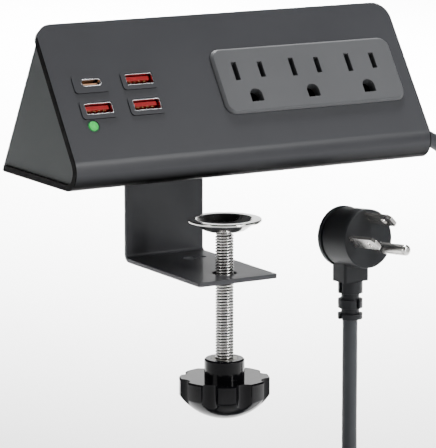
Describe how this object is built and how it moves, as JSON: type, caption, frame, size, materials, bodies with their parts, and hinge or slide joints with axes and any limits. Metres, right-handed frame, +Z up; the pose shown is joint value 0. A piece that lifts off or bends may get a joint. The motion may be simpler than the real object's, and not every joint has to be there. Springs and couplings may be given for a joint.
{
  "type": "clamp-on desk power strip",
  "caption": "Wedge-shaped power strip with sockets and charging ports on a sloping face, held to a desk edge by a screw clamp.",
  "frame": {"origin": "where the clamp screw's axis meets the underside of the seat pad, on the desk top's surface", "axes": "+X along the housing towards the mains lead, +Y to the rear, away from the sockets, +Z up along the clamp screw"},
  "size_m": [0.2383, 0.1285, 0.2271],
  "materials": {
    "shell_plastic": "satin moulded, fine texture",
    "cover_plastic": "satin moulded",
    "outlet_plastic": "satin moulded",
    "inner_plastic": "plain moulded, black",
    "shutter_plastic": "plain moulded, black",
    "spring_steel": "spring temper",
    "contact_brass": "stamped",
    "usb_steel": "plated",
    "usb_tongue_red": "moulded",
    "contact_gold": "gold plated",
    "usb_c_tongue": "moulded, copper coloured",
    "circuit_board": "solder mask",
    "led_green": "lit lens",
    "led_ring": "moulded",
    "transformer_core": "ferrite and tape",
    "capacitor_can": "sleeved can",
    "lead_insulation": "PVC",
    "bracket_coat": "powder coat",
    "zinc_steel": "zinc plated",
    "pad_rubber": "soft pad",
    "chrome_steel": "nickel chrome plate",
    "knob_plastic": "glossy moulded",
    "gland_rubber": "flexible moulding",
    "cord_jacket": "PVC jacket",
    "tie_fabric": "hook and loop strap",
    "plug_plastic": "moulded PVC",
    "plug_metal": "nickel plated brass"
  },
  "bodies": {
    "housing": {"front_shell": "shell_plastic", "usb_bezels": "shell_plastic", "rear_cover": "cover_plastic", "outlet_plate": "outlet_plastic", "outlet_body": "inner_plastic", "outlet_back": "inner_plastic", "supply_posts": "inner_plastic", "charger_chip": "inner_plastic", "shutter_spring_1": "spring_steel", "shutter_spring_2": "spring_steel", "shutter_spring_3": "spring_steel", "neutral_contacts": "contact_brass", "hot_contacts": "contact_brass", "ground_contacts": "contact_brass", "usb_a_shells": "usb_steel", "usb_c_shell": "usb_steel", "usb_a_tongues": "usb_tongue_red", "usb_a_contacts": "contact_gold", "usb_c_tongue": "usb_c_tongue", "usb_board": "circuit_board", "supply_board": "circuit_board", "led_lens": "led_green", "led_chip": "led_green", "led_ring": "led_ring", "transformer": "transformer_core", "capacitors": "capacitor_can", "mains_leads": "lead_insulation", "supply_leads": "lead_insulation", "bracket_flange": "bracket_coat", "bracket_leg": "bracket_coat", "bracket_bends": "bracket_coat", "bracket_plate": "bracket_coat", "backing_plate": "zinc_steel", "clinch_nut": "zinc_steel", "bracket_screws": "zinc_steel", "housing_screws": "zinc_steel", "seat_pad": "pad_rubber", "housing_feet": "pad_rubber", "cord_gland": "gland_rubber", "cord_drop": "cord_jacket", "cord_rise": "cord_jacket", "cord_coil": "cord_jacket", "plug_relief": "cord_jacket", "cord_tie": "tie_fabric", "plug_body": "plug_plastic", "plug_blades": "plug_metal", "plug_pin": "plug_metal"},
    "pressure_cup": {"pressure_cup": "chrome_steel"},
    "screw_and_knob": {"clamp_screw": "chrome_steel", "knob": "knob_plastic", "knob_insert": "zinc_steel"},
    "shutter_1": {"shutter_1": "shutter_plastic"},
    "shutter_2": {"shutter_2": "shutter_plastic"},
    "shutter_3": {"shutter_3": "shutter_plastic"}
  },
  "joints": [
    {"name": "clamp_travel", "type": "slide", "parent": "housing", "child": "pressure_cup", "axis": [0, 0, 1], "range_m": [-0.017, 0.013]},
    {"name": "knob_turn", "type": "hinge", "parent": "pressure_cup", "child": "screw_and_knob", "pos_m": [0, 0, -0.088], "axis": [0, 0, 1], "range_deg": [-4898, 3746]},
    {"name": "shutter_slide_1", "type": "slide", "parent": "housing", "child": "shutter_1", "axis": [1, 0, 0], "range_m": [0, 0.0039], "stiffness_N_per_m": 80, "springref_m": -0.002, "deforming": ["shutter_spring_1"]},
    {"name": "shutter_slide_2", "type": "slide", "parent": "housing", "child": "shutter_2", "axis": [1, 0, 0], "range_m": [0, 0.0039], "stiffness_N_per_m": 80, "springref_m": -0.002, "deforming": ["shutter_spring_2"]},
    {"name": "shutter_slide_3", "type": "slide", "parent": "housing", "child": "shutter_3", "axis": [1, 0, 0], "range_m": [0, 0.0039], "stiffness_N_per_m": 80, "springref_m": -0.002, "deforming": ["shutter_spring_3"]}
  ],
  "couplings": [
    {"joint": "knob_turn", "follows": "clamp_travel", "rad_per_m": 5026.5}
  ]
}
